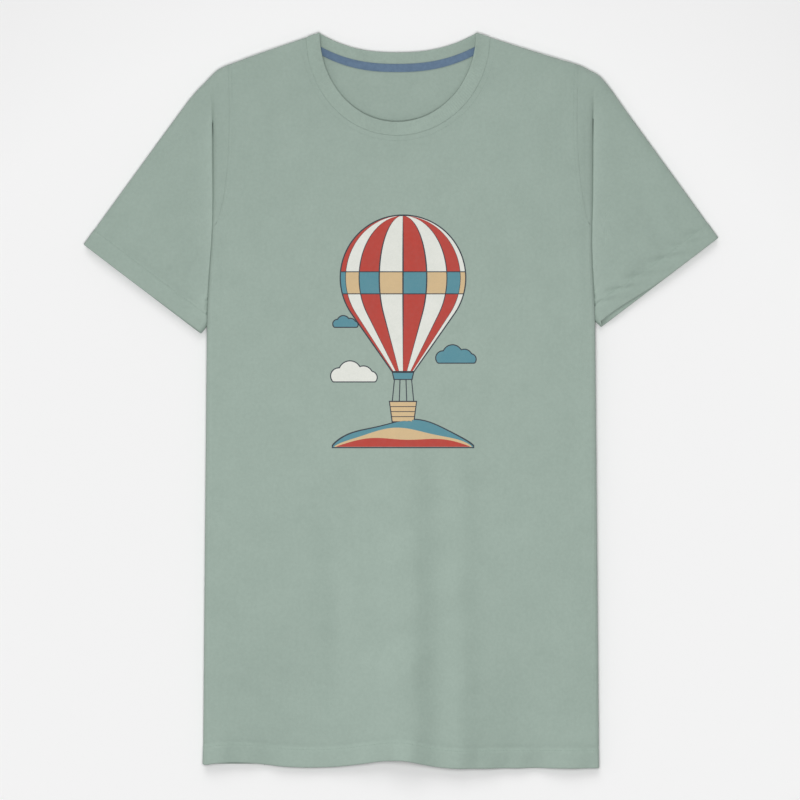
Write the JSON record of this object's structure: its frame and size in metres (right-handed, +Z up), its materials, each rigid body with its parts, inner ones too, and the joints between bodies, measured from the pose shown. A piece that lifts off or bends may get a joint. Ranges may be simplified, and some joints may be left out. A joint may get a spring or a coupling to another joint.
{
  "type": "crew-neck t-shirt",
  "caption": "Short-sleeved crew-neck T-shirt of plain jersey, laid flat on its back with the sides folded under; ribbed neckband, turned hems and a contrast neck tape.",
  "frame": {"origin": "on the floor, below the middle of the shirt's box", "axes": "+Y from the bottom hem to the neck, +X to the wearer's left, +Z up from the floor out of the shirt's front"},
  "size_m": [0.6356, 0.7357, 0.018],
  "materials": {
    "jersey": "single jersey knit in sage green, matt",
    "rib_knit": "one-by-one rib knit in the same sage green, matt",
    "neck_tape": "woven twill tape in slate blue, matt"
  },
  "bodies": {
    "root": {"front_panel": "jersey", "back_panel": "jersey", "left_sleeve": "jersey", "right_sleeve": "jersey", "front_hem": "jersey", "back_hem": "jersey", "left_sleeve_hem": "jersey", "right_sleeve_hem": "jersey", "neckband": "rib_knit", "neck_tape": "neck_tape", "left_side_seam": "jersey", "right_side_seam": "jersey"}
  },
  "joints": []
}
